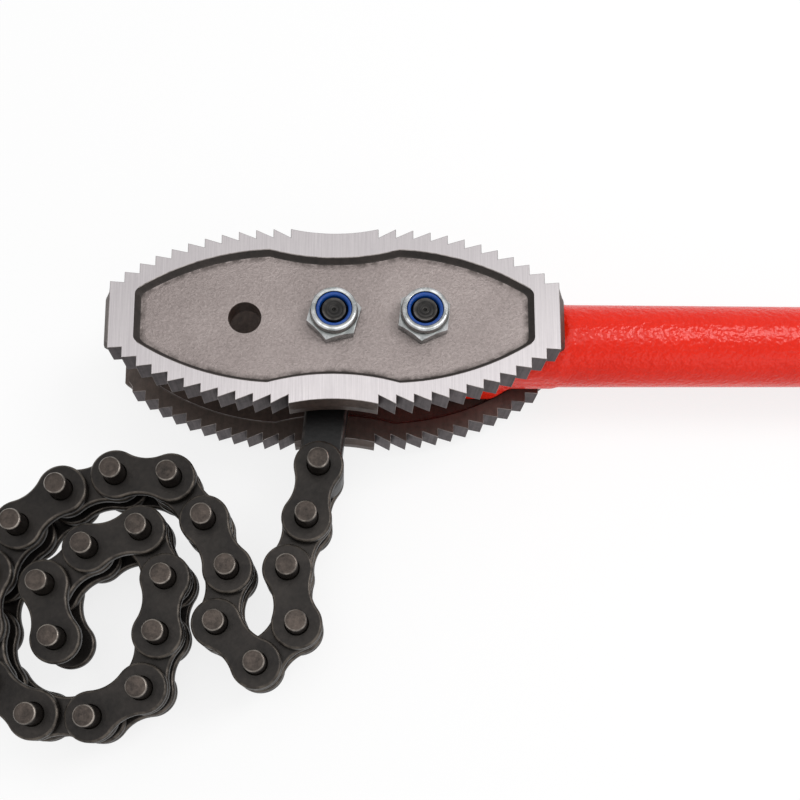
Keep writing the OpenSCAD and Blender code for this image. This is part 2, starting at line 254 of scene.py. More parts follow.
class Shell:
    """A closed mesh under construction, in millimetres, with marks on its points for faced ends and for the
    wear tone, which on the nuts is a painted highlight and at the foot of the jaw panel's wall a painted
    shade.
    """

    def __init__(self) -> None:
        """Starts an empty mesh."""
        self.mesh = bmesh.new()
        self.wear = self.mesh.verts.layers.float.new(WEAR_AND_LIGHT)
        self.cap = self.mesh.verts.layers.float.new(CAP)

    def ring(self, points: Sequence[Solid], wear: float = 0.0, cap: float = 0.0) -> Loop:
        """Adds a loop of points.

        Args:
            points: The points in order.
            wear: How strongly the wear tone lies there, from 0 to 1; on the nuts it is a painted highlight
                and at the foot of the jaw panel's wall a painted shade.
            cap: 1 where the surface is a faced end, else 0.

        Returns:
            The new points of the mesh.
        """
        loop = []
        for point in points:
            vert = self.mesh.verts.new(point)
            vert[self.wear] = wear
            vert[self.cap] = cap
            loop.append(vert)
        return loop

    def level(self, points: Sequence[Flat], z: float, wear: float = 0.0, cap: float = 0.0) -> Loop:
        """Adds a flat loop of points.

        Args:
            points: The points in order.
            z: Height of the loop.
            wear: How strongly the wear tone lies there, from 0 to 1; on the nuts it is a painted highlight
                and at the foot of the jaw panel's wall a painted shade.
            cap: 1 where the surface is a faced end, else 0.

        Returns:
            The new points of the mesh.
        """
        return self.ring([(x, y, z) for x, y in points], wear, cap)

    def turn(self, profile: Profile, count: int) -> list[Loop]:
        """Adds the loops of a profile turned about Z.

        Args:
            profile: Radius, height and marks of each point. A radius of 0 is a pole.
            count: Number of steps round the axis.

        Returns:
            The loops, not yet joined.
        """
        return [
            self.level(circle(radius, count) if radius > 0 else [(0.0, 0.0)], z, *marks)
            for radius, z, *marks in profile
        ]

    def bridge(self, lower: Loop, upper: Loop, zone: Zones = 0) -> None:
        """Joins two loops with smooth faces; a loop of one point is a pole.

        Args:
            lower: First loop.
            upper: Second loop.
            zone: Material index of all the faces, or of each one.
        """
        count = max(len(lower), len(upper))
        for i in range(count):
            j = (i + 1) % count
            if len(lower) == 1:
                corners = (lower[0], upper[j], upper[i])
            elif len(upper) == 1:
                corners = (lower[i], lower[j], upper[0])
            else:
                corners = (lower[i], lower[j], upper[j], upper[i])
            face = self.mesh.faces.new(corners)
            face.material_index = zone if isinstance(zone, int) else zone[i]
            face.smooth = True

    def chain(self, loops: Sequence[Loop], zone: Zones = 0) -> None:
        """Joins each loop to the next.

        Args:
            loops: The loops in order.
            zone: Material index of all the faces, or of each one between two loops.
        """
        for lower, upper in zip(loops, loops[1:]):
            self.bridge(lower, upper, zone)

    def cover(self, loops: Sequence[Loop], zone: int = 0) -> None:
        """Fills the flat area between an outer loop and the loops of its holes.

        Args:
            loops: The outer loop, then the holes.
            zone: Material index of the faces.
        """
        verts = [v for loop in loops for v in loop]
        outlines = [[Vector((v.co.x, v.co.y, 0.0)) for v in loop] for loop in loops]
        for triangle in tessellate_polygon(outlines):
            face = self.mesh.faces.new([verts[i] for i in triangle])
            face.material_index = zone
            face.smooth = False

    def lathe(self, profile: Profile, count: int) -> None:
        """Turns a profile about Z into a closed solid.

        Args:
            profile: Radius, height and marks of each point. A radius of 0 is a pole.
            count: Number of steps round the axis.
        """
        loops = self.turn(profile, count)
        self.chain(loops)
        if profile[0][0] > 0 and profile[-1][0] > 0:
            self.bridge(loops[-1], loops[0])

    def hole(self, centre: Flat, radius: float, bevel: float, start: float, end: float, count: int,
             zone: int = 0) -> tuple[Loop, Loop]:
        """Adds the wall of a bevelled hole.

        Args:
            centre: Centre of the hole.
            radius: Radius of the hole.
            bevel: Bevel of its edges.
            start: Height of its first edge.
            end: Height of its last edge.
            count: Number of steps round the hole.
            zone: Material index of the faces.

        Returns:
            The loops of both edges.
        """
        step = math.copysign(bevel, end - start)
        steps = ((bevel, start), (0.0, start + step), (0.0, end - step), (bevel, end))
        walls = [self.level(circle(radius + out, count, centre), z) for out, z in steps]
        self.chain(walls, zone)
        return walls[0], walls[-1]

    def plate(self, outline: Sequence[Flat], holes: Sequence[tuple[Flat, float]], floor: float, top: float,
              rounding: float, hole_bevel: float) -> None:
        """Adds a plate with rounded edges and bevelled holes.

        Args:
            outline: Counter-clockwise outline.
            holes: Centre and radius of each hole.
            floor: Height of the lower face.
            top: Height of the upper face.
            rounding: Radius of the outer edges.
            hole_bevel: Bevel of the holes' edges.
        """
        round_steps = 4
        hole_steps = 40
        wear_falloff = 0.7
        turns = [math.pi / 2 * share for share in shares(round_steps)]
        rings = []
        for face, way, order in ((floor, 1, turns), (top, -1, turns[::-1])):
            for turn in order:
                edge = inset(outline, rounding * (1 - math.sin(turn)))
                wear = max(0.0, math.sin(2 * turn)) ** wear_falloff
                rings.append(self.level(edge, face + way * rounding * (1 - math.cos(turn)), wear))
        self.chain(rings)
        walls = [self.hole(spot, radius, hole_bevel, floor, top, hole_steps) for spot, radius in holes]
        self.cover([rings[0], *(lower for lower, _ in walls)])
        self.cover([rings[-1], *(upper for _, upper in walls)])

    def piece(self, name: str, place: Matrix = Matrix.Identity(4)) -> bpy.types.Object:
        """Closes the mesh and makes it an object at the origin.

        Args:
            name: Name of the object.
            place: Where the mesh goes, in millimetres.

        Returns:
            The new object.
        """
        bmesh.ops.recalc_face_normals(self.mesh, faces=self.mesh.faces)
        self.mesh.transform(Matrix.Scale(MM, 4) @ place)
        data = bpy.data.meshes.new(name)
        self.mesh.to_mesh(data)
        self.mesh.free()
        return link(name, data)


def link(name: str, data: bpy.types.ID) -> bpy.types.Object:
    """Puts an object into the scene.

    Args:
        name: Name of the object.
        data: Its mesh, lamp or camera.

    Returns:
        The new object.
    """
    made = bpy.data.objects.new(name, data)
    bpy.context.scene.collection.objects.link(made)
    return made


def settle(made: bpy.types.Object) -> None:
    """Turns an object's modifiers into plain mesh.

    Args:
        made: The object, whose modifiers are then removed.
    """
    graph = bpy.context.evaluated_depsgraph_get()
    graph.update()
    finished = bpy.data.meshes.new_from_object(
        made.evaluated_get(graph), preserve_all_data_layers=True, depsgraph=graph
    )
    rough = made.data
    made.modifiers.clear()
    made.data = finished
    finished.name = made.name
    bpy.data.meshes.remove(rough)


def shade(made: bpy.types.Object, sharp: float) -> None:
    """Shades an object smoothly, apart from its sharp edges.

    Args:
        made: The object.
        sharp: Angle in degrees past which an edge is sharp.
    """
    made.data.shade_smooth()
    made.data.set_sharp_from_angle(angle=math.radians(sharp))


def soften(made: bpy.types.Object, width: float, edge_zone: int, limit: float) -> None:
    """Rounds an object's sharp edges and keeps its flats flat.

    Args:
        made: The object.
        width: Width of the rounding in millimetres.
        edge_zone: Material index of the rounded edges.
        limit: Angle in degrees past which an edge is sharp.
    """
    shading_limit = 55
    upright = 0.999
    bevel = made.modifiers.new("rounded edges", "BEVEL")
    bevel.width = width * MM
    bevel.segments = 2
    bevel.limit_method = "ANGLE"
    bevel.angle_limit = math.radians(limit)
    bevel.material = edge_zone
    bevel.use_clamp_overlap = False
    settle(made)
    shade(made, shading_limit)
    for face in made.data.polygons:
        face.use_smooth = abs(face.normal.z) < upright
    flats = made.modifiers.new("flat faces", "WEIGHTED_NORMAL")
    flats.keep_sharp = True
    settle(made)


class Brush(Enum):
    """Direction of the fine lines that a tool leaves, as line frequencies along X, Y and Z."""

    NONE = (0.0, 0.0, 0.0)
    ACROSS = (2600.0, 30.0, 30.0)
    THROUGH = (700.0, 700.0, 25.0)
    CROSSED = (420.0, 60.0, 60.0)


class Mix(Enum):
    """What a mix node mixes, with the places of its first input and its result."""

    VALUE = ("FLOAT", 2, 0)
    COLOUR = ("RGBA", 6, 2)


class Effects:
    """Shader node groups that several finishes share."""

    def __init__(self) -> None:
        """Builds each group once."""
        self.grain = self._grain()
        self.lines = self._lines()
        self.edges = self._edges()

    @staticmethod
    def _start(
        name: str, vectors: Sequence[str], values: Sequence[str], results: Sequence[str]
    ) -> tuple[Tree, bpy.types.NodeOutputs]:
        """Makes an empty group.

        Args:
            name: Name of the group.
            vectors: Names of its vector inputs.
            values: Names of its value inputs.
            results: Names of its value outputs.

        Returns:
            The group and the sockets of its inputs.
        """
        group = bpy.data.node_groups.new(name, "ShaderNodeTree")
        plan = ((vectors, "INPUT", "Vector"), (values, "INPUT", "Float"), (results, "OUTPUT", "Float"))
        for labels, way, kind in plan:
            for label in labels:
                group.interface.new_socket(label, in_out=way, socket_type=f"NodeSocket{kind}")
        return group, wire(group, "NodeGroupInput", {})

    def _grain(self) -> Tree:
        """Grain at two scales: fine, and a slow drift over the piece.

        Returns:
            A group with the outputs Grain and Drift.
        """
        labels = ["Scale", "Detail", "Drift Scale"]
        group, given = self._start("surface_grain", ["Vector"], labels, ["Grain", "Drift"])
        textures = {
            "Grain": {"Scale": given["Scale"], "Detail": given["Detail"], "Roughness": 0.62},
            "Drift": {"Scale": given["Drift Scale"], "Detail": 4.0, "Roughness": 0.55},
        }
        results = {}
        for label, values in textures.items():
            noise = wire(group, NOISE, {"Vector": given["Vector"], **values})["Fac"]
            results[label] = wire(group, SPREAD, {"Value": noise, "From Min": 0.3, "From Max": 0.7})["Result"]
        wire(group, "NodeGroupOutput", results)
        return group

    def _lines(self) -> Tree:
        """Fine tool lines, long in one direction.

        Returns:
            A group with the output Lines.
        """
        group, given = self._start("tool_lines", ["Vector", "Frequency"], [], ["Lines"])
        factors = {0: given["Vector"], 1: given["Frequency"]}
        place = wire(group, VECTOR, factors, operation="MULTIPLY")["Vector"]
        noise = wire(group, NOISE, {"Vector": place, "Scale": 1.0, "Detail": 4.0, "Roughness": 0.7})["Fac"]
        lines = wire(group, SPREAD, {"Value": noise, "From Min": 0.28, "From Max": 0.72})["Result"]
        wire(group, "NodeGroupOutput", {"Lines": lines})
        return group

    def _edges(self) -> Tree:
        """The wear tone, broken up along a marked edge; on the nuts it is a painted highlight and at the foot
        of the jaw panel's wall a painted shade.

        Returns:
            A group with the output Worn.
        """
        group, given = self._start("edge_wear_and_painted_light", ["Vector"], ["Edge", "Scale", "Amount"], ["Worn"])
        noise = wire(group, NOISE, {"Vector": given["Vector"], "Scale": given["Scale"], "Detail": 5.0})["Fac"]
        limits = {"From Min": 0.38, "From Max": 0.62, "To Min": 0.25}
        patch = wire(group, SPREAD, {"Value": noise, **limits})["Result"]
        broken = wire(group, MATH, {0: patch, 1: given["Edge"]}, operation="MULTIPLY")["Value"]
        factors = {0: broken, 1: given["Amount"]}
        wear_and_painted_light = wire(group, MATH, factors, operation="MULTIPLY", use_clamp=True)["Value"]
        wire(group, "NodeGroupOutput", {"Worn": wear_and_painted_light})
        return group


@dataclass(frozen=True)
class Finish:
    """A surface: two tones mixed by grain and tool lines, with faced ends and a wear tone on marked edges,
    which on the nuts is a painted highlight and at the foot of the jaw panel's wall a painted shade.
    """

    name: str
    light: Colour
    dark: Colour
    metallic: float
    roughness: float
    roughness_spread: float = 0.08
    grain_scale: float = 600.0
    grain_detail: float = 5.0
    drift_scale: float = 25.0
    grain_share: float = 0.5
    bump: float = 0.15
    bump_depth: float = 0.0002
    brush: Brush = Brush.NONE
    brush_share: float = 0.0
    # Wear tone; on the nuts a painted highlight, on the jaw panel a painted shade.
    wear_and_painted_light: Optional[Colour] = None
    wear_and_light_amount: float = 1.0
    wear_and_light_scale: float = 260.0
    cap_tone: Optional[Colour] = None
    specular: float = 0.5
    coat: float = 0.0
    coat_roughness: float = 0.1

    def build(self, effects: Effects) -> bpy.types.Material:
        """Makes the material.

        Args:
            effects: The shared node groups.

        Returns:
            The material.
        """
        material = bpy.data.materials.new(self.name)
        material.use_nodes = True
        tree = material.node_tree
        place = wire(tree, "ShaderNodeTexCoord", {})["Object"]
        scales = {"Scale": self.grain_scale, "Detail": self.grain_detail, "Drift Scale": self.drift_scale}
        grain = wire(tree, GROUP, {"Vector": place, **scales}, node_tree=effects.grain)
        height = grain["Grain"]
        blend = self._mix(tree, Mix.VALUE, self.grain_share, grain["Drift"], height)
        if self.brush is not Brush.NONE:
            values = {"Vector": place, "Frequency": self.brush.value}
            lines = wire(tree, GROUP, values, node_tree=effects.lines)["Lines"]
            blend = self._mix(tree, Mix.VALUE, self.brush_share, blend, lines)
            height = self._mix(tree, Mix.VALUE, self.brush_share, height, lines)
        colour = self._mix(tree, Mix.COLOUR, blend, self.dark, self.light)
        if self.cap_tone:
            caps = self._mix(tree, Mix.COLOUR, blend, self.dark, self.cap_tone)
            mask = wire(tree, "ShaderNodeAttribute", {}, attribute_name=CAP)["Fac"]
            colour = self._mix(tree, Mix.COLOUR, mask, colour, caps)
        # The wear tone: wear on most parts, a painted highlight on the nuts, painted shade at the foot of the
        # jaw panel's wall.
        if self.wear_and_painted_light:
            edge = wire(tree, "ShaderNodeAttribute", {}, attribute_name=WEAR_AND_LIGHT)["Fac"]
            values = {"Edge": edge, "Vector": place, "Scale": self.wear_and_light_scale, "Amount": self.wear_and_light_amount}
            mask = wire(tree, GROUP, values, node_tree=effects.edges)["Worn"]
            colour = self._mix(tree, Mix.COLOUR, mask, colour, self.wear_and_painted_light)
        roughest = self.roughness + self.roughness_spread
        smoothest = self.roughness - self.roughness_spread
        rough = wire(tree, SPREAD, {"Value": blend, "To Min": roughest, "To Max": smoothest})["Result"]
        values = {"Height": height, "Strength": self.bump, "Distance": self.bump_depth}
        normal = wire(tree, "ShaderNodeBump", values)["Normal"]
        feed(tree, tree.nodes["Principled BSDF"], {
            "Base Color": colour,
            "Metallic": self.metallic,
            "Roughness": rough,
            "Specular IOR Level": self.specular,
            "Coat Weight": self.coat,
            "Coat Roughness": self.coat_roughness,
            "Normal": normal,
            "Coat Normal": normal,
        })
        return material

    @staticmethod
    def _mix(tree: Tree, kind: Mix, share: Value, first: Value, second: Value) -> Socket:
        """Mixes two values or two colours.

        Args:
            tree: The material's nodes.
            kind: What is mixed.
            share: Share of the second.
            first: First value or colour.
            second: Second value or colour.

        Returns:
            The result's socket.
        """
        data_type, slot, result = kind.value
        inputs = {0: share, slot: first, slot + 1: second}
        return wire(tree, "ShaderNodeMix", inputs, data_type=data_type)[result]


class Coat(Enum):
    """The finishes of the wrench."""

    GROUND_RIM = Finish(
        "ground_rim", tone(194, 189, 190), tone(158, 153, 155), 1.0, 0.38, grain_share=0.3,
        brush=Brush.ACROSS, brush_share=0.75, bump=0.12, bump_depth=0.00006,
    )
    # Its dark wear tone is painted shade, laid on the panel along the foot of its wall.
    BLASTED_PANEL = Finish(
        "blasted_panel", tone(165, 154, 151), tone(127, 117, 114), 0.55, 0.5, grain_scale=1000.0,
        grain_share=0.6, bump=0.85, bump_depth=0.0003, wear_and_painted_light=tone(62, 54, 50), wear_and_light_amount=0.9,
    )
    FORGED_SKIN = Finish(
        "forged_skin", tone(88, 72, 64), tone(40, 32, 29), 0.45, 0.52, grain_scale=420.0, drift_scale=60.0,
        brush=Brush.CROSSED, brush_share=0.25, bump=0.35, bump_depth=0.0003,
    )
    CUT_FLANK = Finish(
        "cut_flank", tone(96, 88, 90), tone(48, 42, 44), 0.75, 0.46, grain_scale=500.0, drift_scale=120.0,
        brush=Brush.THROUGH, brush_share=0.5, bump_depth=0.0001,
    )
    # The panel's wall: forged steel darkened to near black as painted shade of the recess wall.
    SHADED_PANEL_WALL = Finish(
        "panel_wall_painted_shade", tone(44, 36, 32), tone(20, 16, 14), 0.3, 0.6, grain_scale=500.0, drift_scale=90.0,
        bump=0.3,
    )
    INNER_FACE = Finish(
        "inner_face", tone(97, 83, 76), tone(46, 39, 35), 0.35, 0.48, grain_scale=300.0, drift_scale=70.0,
        brush=Brush.CROSSED, brush_share=0.3, bump=0.3,
    )
    BRIGHT_EDGE = Finish(
        "bright_edge", tone(152, 145, 142), tone(50, 44, 42), 0.9, 0.38, grain_scale=340.0,
        drift_scale=130.0, bump=0.1,
    )
    RED_PAINT = Finish(
        "red_paint", tone(230, 34, 5), tone(215, 28, 3), 0.0, 0.26, roughness_spread=0.04,
        grain_scale=430.0, grain_detail=1.2, drift_scale=30.0, grain_share=0.4, bump=0.55,
        bump_depth=0.0004, specular=0.14, coat=0.2, coat_roughness=0.12,
    )
    # The nuts' pale wear tone is a painted highlight on their collars, hex corners and tops.
    ZINC = Finish(
        "zinc_plate", tone(150, 153, 152), tone(94, 98, 96), 1.0, 0.24, grain_scale=500.0, drift_scale=140.0,
        bump=0.12, wear_and_painted_light=tone(216, 217, 219), wear_and_light_amount=0.7,
    )
    NYLON = Finish(
        "blue_nylon", tone(9, 72, 154), tone(5, 48, 112), 0.0, 0.36, grain_scale=700.0, drift_scale=200.0,
        bump=0.12, specular=0.35,
    )
    BLACK_BOLT = Finish(
        "black_bolt", tone(27, 26, 25), tone(13, 12, 12), 0.7, 0.42, grain_scale=700.0, drift_scale=200.0,
        wear_and_painted_light=tone(112, 108, 104), wear_and_light_amount=0.8,
    )
    ANCHOR = Finish(
        "anchor_black", tone(27, 26, 26), tone(11, 11, 11), 0.6, 0.42, grain_scale=380.0, drift_scale=80.0,
        bump=0.25, wear_and_painted_light=tone(96, 90, 86), wear_and_light_amount=0.6,
    )
    CHAIN_PLATE = Finish(
        "chain_plate", tone(40, 36, 33), tone(18, 16, 15), 0.72, 0.42, grain_scale=420.0, drift_scale=55.0,
        grain_share=0.35, bump=0.2, wear_and_painted_light=tone(104, 96, 88), wear_and_light_amount=0.7,
    )
    CHAIN_PIN = Finish(
        "chain_pin", tone(54, 48, 44), tone(28, 25, 23), 0.75, 0.42, drift_scale=90.0, bump=0.2,
        wear_and_painted_light=tone(160, 152, 144), wear_and_light_amount=0.9, cap_tone=tone(78, 69, 63),
    )


class Workshop:
    """Keeps the finishes and the repeater, and hands finished pieces to the frame."""

    def __init__(self) -> None:
        """Builds every finish and the repeater's node tree."""
        effects = Effects()
        self.materials = {coat: coat.value.build(effects) for coat in Coat}
        self.tree, self.sockets = self._repeater()

    @staticmethod
    def _repeater() -> tuple[Tree, dict[str, str]]:
        """Builds the tree that repeats a shape along a line and lays the line on the object.

        Returns:
            The tree, and the identifier of each named input.
        """
        tree = bpy.data.node_groups.new("repeat_on_line", "GeometryNodeTree")
        kinds = {
            "Geometry": "Geometry", "Count": "Int", "Step": "Vector", "First Turn": "Vector",
            "Turn Step": "Vector", "Loose Turn": "Vector", "Seed": "Int", "Place": "Vector",
            "Heading": "Float", "Finish": "Material",
        }
        add = tree.interface.new_socket
        sockets = {
            label: add(label, in_out="INPUT", socket_type=f"NodeSocket{kind}").identifier
            for label, kind in kinds.items()
        }
        add("Geometry", in_out="OUTPUT", socket_type="NodeSocketGeometry")
        given = wire(tree, "NodeGroupInput", {})
        line = wire(tree, "GeometryNodeMeshLine", {"Count": given["Count"], "Offset": given["Step"]})["Mesh"]
        index = wire(tree, "GeometryNodeInputIndex", {})["Index"]
        growth = wire(tree, VECTOR, {0: given["Turn Step"], "Scale": index}, operation="SCALE")["Vector"]
        turn = wire(tree, VECTOR, {0: given["First Turn"], 1: growth})["Vector"]
        least = (-1.0, -1.0, -1.0)
        draw = {0: least, "Seed": given["Seed"]}
        chance = wire(tree, "FunctionNodeRandomValue", draw, data_type="FLOAT_VECTOR")[0]
        slack = wire(tree, VECTOR, {0: chance, 1: given["Loose Turn"]}, operation="MULTIPLY")["Vector"]
        whole = wire(tree, VECTOR, {0: turn, 1: slack})["Vector"]
        row = {"Points": line, "Instance": given["Geometry"], "Rotation": whole}
        copies = wire(tree, "GeometryNodeInstanceOnPoints", row)["Instances"]
        heading = wire(tree, "ShaderNodeCombineXYZ", {"Z": given["Heading"]})["Vector"]
        place = {"Geometry": copies, "Translation": given["Place"], "Rotation": heading}
        laid = wire(tree, "GeometryNodeTransform", place)["Geometry"]
        real = wire(tree, "GeometryNodeRealizeInstances", {"Geometry": laid})["Geometry"]
        paint = {"Geometry": real, "Material": given["Finish"]}
        wire(tree, "NodeGroupOutput", {"Geometry": wire(tree, "GeometryNodeSetMaterial", paint)["Geometry"]})
        return tree, sockets

    def repeat(self, made: bpy.types.Object, coat: Coat, count: int, step: Solid = ORIGIN,
               first_turn: Solid = ORIGIN, turn_step: Solid = ORIGIN, loose_turn: Solid = ORIGIN,
               seed: int = 1, place: Solid = ORIGIN, heading: float = 0.0) -> None:
        """Repeats an object's shape along a line and makes the result plain mesh.

        Args:
            made: The object that holds one shape.
            coat: Finish of the copies.
            count: Number of copies.
            step: From one copy to the next, in millimetres.
            first_turn: Turn of the first copy, in degrees.
            turn_step: Turn from one copy to the next, in degrees.
            loose_turn: Most that chance turns a copy, in degrees.
            seed: Seed of that chance.
            place: Where the line starts, in millimetres.
            heading: Direction of the line about Z, in degrees.
        """
        values = {"Count": count, "Seed": seed, "Finish": self.materials[coat]}
        values["Heading"] = math.radians(heading)
        for label, length in (("Step", step), ("Place", place)):
            values[label] = [v * MM for v in length]
        for label, turn in (("First Turn", first_turn), ("Turn Step", turn_step), ("Loose Turn", loose_turn)):
            values[label] = [math.radians(v) for v in turn]
        modifier = made.modifiers.new("repeat on a line", "NODES")
        modifier.node_group = self.tree
        for label, value in values.items():
            modifier[self.sockets[label]] = value
        settle(made)

    def dress(self, made: bpy.types.Object, coats: Sequence[Coat]) -> None:
        """Gives an object its finishes, one for each material index.

        Args:
            made: The object.
            coats: Finishes in order.
        """
        for coat in coats:
            made.data.materials.append(self.materials[coat])

    @staticmethod
    def hand_over(made: bpy.types.Object, body: str, nodes: Sequence[str], slot: str) -> None:
        """Lets a finished piece stand for its nodes and ride on its body.

        Args:
            made: The piece.
            body: Name of the body.
            nodes: Names of the nodes that it stands for.
            slot: The record's material slot; not used.
        """
        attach(made, body)
        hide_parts(*nodes)
        LOG.info("%s: %d faces on %s", made.name, len(made.data.polygons), body)


class Zone(IntEnum):
    """Material index of each kind of surface on a jaw."""

    RIM = 0
    PANEL = 1
    SKIN = 2
    FLANK = 3
    EDGE = 4
    WALL = 5
    INNER = 6


class Side(Enum):
    """What a stretch of a jaw's outline is."""

    NOTCH = 0
    TOOTH = 1
    END = 2


EdgePoint = tuple[float, float, Side]

# Finish of each zone of a jaw.
JAW_COATS = {
    Zone.RIM: Coat.GROUND_RIM,
    Zone.PANEL: Coat.BLASTED_PANEL,
    Zone.SKIN: Coat.FORGED_SKIN,
    Zone.FLANK: Coat.CUT_FLANK,
    Zone.EDGE: Coat.BRIGHT_EDGE,
    # The panel's wall has a painted shade.
    Zone.WALL: Coat.SHADED_PANEL_WALL,
    Zone.INNER: Coat.INNER_FACE,
}
# Shares of a jaw's thickness, its notches' bulge and its ends' bulge, from the inner face outwards.
JAW_LAYERS = (
    (0.0, 0.0, 0.4), (0.14, 0.2, 1.0), (0.36, 0.55, 0.9), (0.46, 0.95, 0.8), (0.54, 0.95, 0.7),
    (0.66, 0.5, 0.5), (1.0, 0.0, 0.0),
)
# Margin past the foot of the panel's wall, height over the panel, strength of the painted shade that the wear
# tone lays there, and zone of the faces before it.
PANEL_RINGS = (
    (-0.4, 0.5, 1.0, Zone.WALL), (0.1, 0.12, 1.0, Zone.WALL), (0.7, 0.0, 0.8, Zone.PANEL),
    (2.6, 0.0, 0.0, Zone.PANEL),
)


@dataclass
class JawPair:
    """The two double-ended jaws: toothed edges, smooth notches, a sunk panel and three bolt holes."""

    half_height: float = 42.0
    thickness: float = 11.0
    gap: float = 32.0
    tip_radius: float = 129.0
    tip_crest: float = 24.0
    tooth_count: int = 11
    tooth_pitch: float = 7.93
    tooth_depth: float = 4.2
    notch_half: float = 20.0
    notch_depth: float = 2.3
    notch_bulge: float = 0.9
    notch_steps: int = 8
    end_bulge: float = 4.2
    end_margin: float = 2.8
    end_ramp: float = 2.4
    rim_width: float = 10.0
    rim_end_share: float = 1.15
    border: float = 0.6
    dip_width: float = 59.0
    dip: float = 4.1
    dip_steps: int = 12
    side_steps: int = 24
    panel_corner: float = 2.4
    corner_fall: float = 0.8
    corner_steps: int = 6
    panel_depth: float = 2.5
    wall_slope: float = 2.0
    pocket_depth: float = 1.5
    mouth_margin: float = -0.4
    lip_margin: float = 0.1
    lip_depth: float = 0.25
    bed_margin: float = 0.8
    hole_spacing: float = 40.5
    hole_radius: float = 7.25
    hole_bevel: float = 0.35
    hole_steps: int = 48
    centre_x: float = 40.5
    edge_width: float = 0.22
    edge_angle: float = 50.0

    def __post_init__(self) -> None:
        """Works out the arcs of the tips, the notch and the dip."""
        self.arc_y = self.half_height - self.tip_radius
        self.first_angle = math.asin((self.notch_half - self.tip_crest) / self.tip_radius)
        self.tooth_step = self.tooth_pitch / self.tip_radius
        self.notch_radius = (self.notch_half**2 + self.notch_depth**2) / (2 * self.notch_depth)
        self.notch_y = self._tip(0)[1] - self.notch_depth + self.notch_radius
        self.end_x, self.end_y = self._tip(self.tooth_count)
        self.dip_radius = ((self.dip_width / 2) ** 2 + self.dip**2) / (2 * self.dip)

    def _tip(self, k: int) -> Flat:
        """Place of a tooth tip.

        Args:
            k: Number of the tip, from 0 at the notch.

        Returns:
            The tip.
        """
        a = self.first_angle + k * self.tooth_step
        return self.tip_crest + self.tip_radius * math.sin(a), self.arc_y + self.tip_radius * math.cos(a)

    def _quarter(self) -> list[EdgePoint]:
        """A quarter of the outline, from the middle of the notch to the short end.

        Returns:
            Each point with the kind of edge that it lies on.
        """
        points = []
        for share in shares(self.notch_steps)[:-1]:
            x = self.notch_half * share
            points.append((x, self.notch_y - math.sqrt(self.notch_radius**2 - x * x), Side.NOTCH))
        for k in range(self.tooth_count):
            x, y = self._tip(k)
            fall = self.tooth_depth / math.cos(self.first_angle + k * self.tooth_step)
            points += [(x, y, Side.TOOTH), (x, y - fall, Side.TOOTH)]
        shoulder = self.end_y - self.end_margin
        points += [(self.end_x, y, Side.TOOTH) for y in (self.end_y, shoulder)]
        points += [(self.end_x, y, Side.END) for y in (shoulder - self.end_ramp, self.end_y / 2)]
        return points

    def _outline(self) -> list[EdgePoint]:
        """The whole outline, counter-clockwise.

        Returns:
            Each point with the kind of edge that it lies on.
        """
        quarter = self._quarter()
        top = [(self.end_x, 0.0, Side.END), *reversed(quarter)]
        top += [(-x, y, side) for x, y, side in quarter[1:]]
        return top + [(-x, -y, side) for x, y, side in top]

    def _tip_line(self, x: float, margin: float) -> float:
        """Half height of a line that runs inside the tooth tips.

        Args:
            x: Where the height is taken.
            margin: Distance from the tips.

        Returns:
            The half height.
        """
        return self.arc_y + math.sqrt((self.tip_radius - margin) ** 2 - (x - self.tip_crest) ** 2)

    def _dip_line(self, x: float, margin: float) -> float:
        """Half height of the arc that dips between the panel's peaks.

        Args:
            x: Where the height is taken.
            margin: Distance of the peaks from the tips.

        Returns:
            The half height.
        """
        peak = self._tip_line(self.dip_width / 2, margin)
        return peak - self.dip + self.dip_radius - math.sqrt(self.dip_radius**2 - x * x)

    def _panel(self, margin: float) -> list[Flat]:
        """Outline of the sunk panel, its corners rounded.

        Args:
            margin: Distance from the tips.

        Returns:
            The points, counter-clockwise.
        """
        peak = self.dip_width / 2
        half = self.end_x - margin * self.rim_end_share
        corner = half - self.panel_corner
        quarter = [(peak * s, self._dip_line(peak * s, margin)) for s in shares(self.dip_steps)]
        for share in shares(self.side_steps, 1):
            x = between(peak, corner, share)
            quarter.append((x, self._tip_line(x, margin)))
        start = Vector(quarter[-1])
        tip = Vector((half, self._tip_line(half, margin)))
        end = Vector((half, tip.y - self.panel_corner * self.corner_fall))
        for t in shares(self.corner_steps, 1):
            quarter.append((start * (1 - t) ** 2 + tip * 2 * t * (1 - t) + end * t**2).to_tuple())
        right = [(x, -y) for x, y in quarter] + list(reversed(quarter))[:-1]
        return right + [(-x, -y) for x, y in right]

    def _bulge(self, point: EdgePoint, notch_share: float, end_share: float) -> Flat:
        """Moves a point of the outline out where the forging bulges.

        Args:
            point: The point with its kind.
            notch_share: Share of the notch's bulge at this height.
            end_share: Share of the end's bulge at this height.

        Returns:
            The moved point.
        """
        x, y, side = point
        if side is Side.NOTCH:
            return x, y + math.copysign(self.notch_bulge * notch_share, y)
        if side is Side.END:
            return x + math.copysign(self.end_bulge * end_share, x), y
        return x, y

    def _shell(self) -> Shell:
        """Builds one jaw, its inner face on z = 0 and its outer face up.

        Returns:
            The jaw's shell.
        """
        shell = Shell()
        outline = self._outline()
        zones = []
        for point, after in zip(outline, outline[1:] + outline[:1]):
            cut = point[2] is Side.TOOTH and after[2] is Side.TOOTH
            zones.append(Zone.FLANK if cut else Zone.SKIN)
        layers = [
            shell.level([self._bulge(point, notch, end) for point in outline], self.thickness * height)
            for height, notch, end in JAW_LAYERS
        ]
        shell.chain(layers, zones)
        floor = self.thickness - self.panel_depth
        foot = self.rim_width + self.wall_slope
        panel = [shell.level(self._panel(self.rim_width), self.thickness)]
